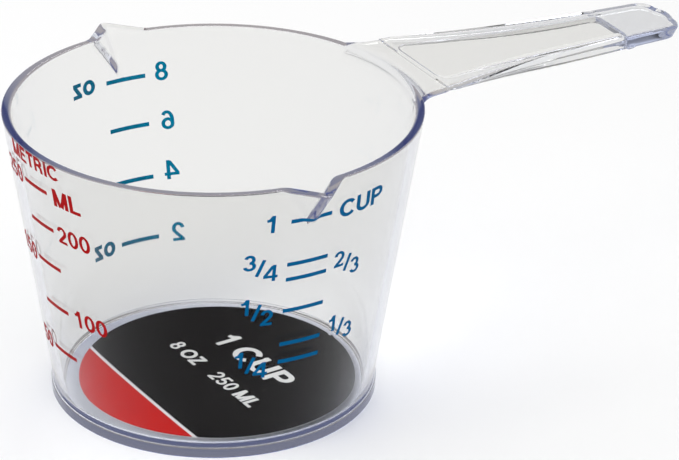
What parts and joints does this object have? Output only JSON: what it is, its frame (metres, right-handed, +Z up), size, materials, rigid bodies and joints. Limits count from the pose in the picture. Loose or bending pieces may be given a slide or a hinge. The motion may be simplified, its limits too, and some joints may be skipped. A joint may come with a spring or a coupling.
{
  "type": "measuring cup",
  "caption": "Clear plastic measuring cup: tapered round bowl with pour lips, long flat handle hollowed below, printed volume scales and a round printed label on the floor.",
  "frame": {"origin": "on the bowl's axis, at the centre of the flat underside that the cup stands on", "axes": "+X from the bowl's axis along the handle; +Z up, out of the bowl's mouth; the pour lips point along -Y and +Y"},
  "size_m": [0.1627, 0.1042, 0.067],
  "materials": {
    "clear_plastic": "clear, polished",
    "label_stock": "white sticker film, satin",
    "black_print": "printed, satin",
    "red_print": "printed, satin",
    "blue_ink": "screen-printed ink",
    "teal_ink": "screen-printed ink",
    "red_ink": "screen-printed ink"
  },
  "bodies": {
    "root": {"bowl": "clear_plastic", "handle": "clear_plastic", "label_stock": "label_stock", "label_black_print": "black_print", "label_red_print": "red_print", "cup_mark_1_4": "blue_ink", "cup_mark_1_3": "blue_ink", "cup_mark_1_2": "blue_ink", "cup_mark_2_3": "blue_ink", "cup_mark_3_4": "blue_ink", "cup_mark_1": "blue_ink", "metric_mark_50": "red_ink", "metric_mark_100": "red_ink", "metric_mark_150": "red_ink", "metric_mark_200": "red_ink", "metric_mark_250": "red_ink", "ounce_mark_2": "teal_ink", "ounce_mark_4": "teal_ink", "ounce_mark_6": "teal_ink", "ounce_mark_8": "teal_ink"}
  },
  "joints": []
}
